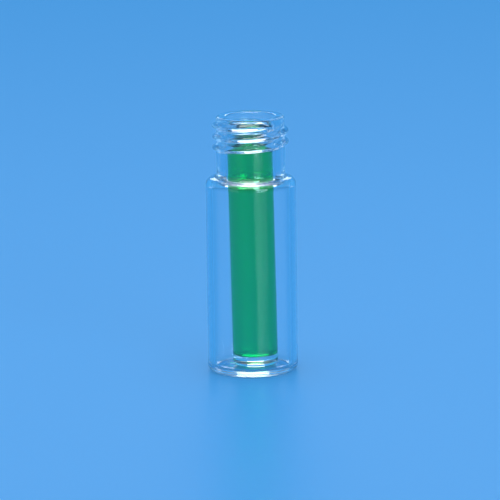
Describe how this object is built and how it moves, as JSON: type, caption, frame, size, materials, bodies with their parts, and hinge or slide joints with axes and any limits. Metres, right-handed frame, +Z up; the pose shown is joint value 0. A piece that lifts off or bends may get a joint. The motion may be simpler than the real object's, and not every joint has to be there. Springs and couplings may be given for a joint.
{
  "type": "screw-neck sample vial",
  "caption": "Clear glass screw-neck sample vial that stands upright and holds a loose flat-bottomed glass insert filled with green liquid.",
  "frame": {"origin": "on the vial's axis, at the level of the flat ring that the vial stands on", "axes": "+Z up along the vial's axis to the open mouth; the insert's foot stands off the axis towards +X and its rim leans towards -X; the screw ridge starts at the front right, 45 degrees clockwise from +X seen from above"},
  "size_m": [0.0116, 0.0116, 0.0328],
  "materials": {
    "vial_glass": "clear fire-polished tube glass",
    "insert_glass": "clear fire-polished thin tube glass",
    "green_sample": "clear green watery liquid"
  },
  "bodies": {
    "root": {"vial": "vial_glass", "insert": "insert_glass", "sample": "green_sample"}
  },
  "joints": []
}
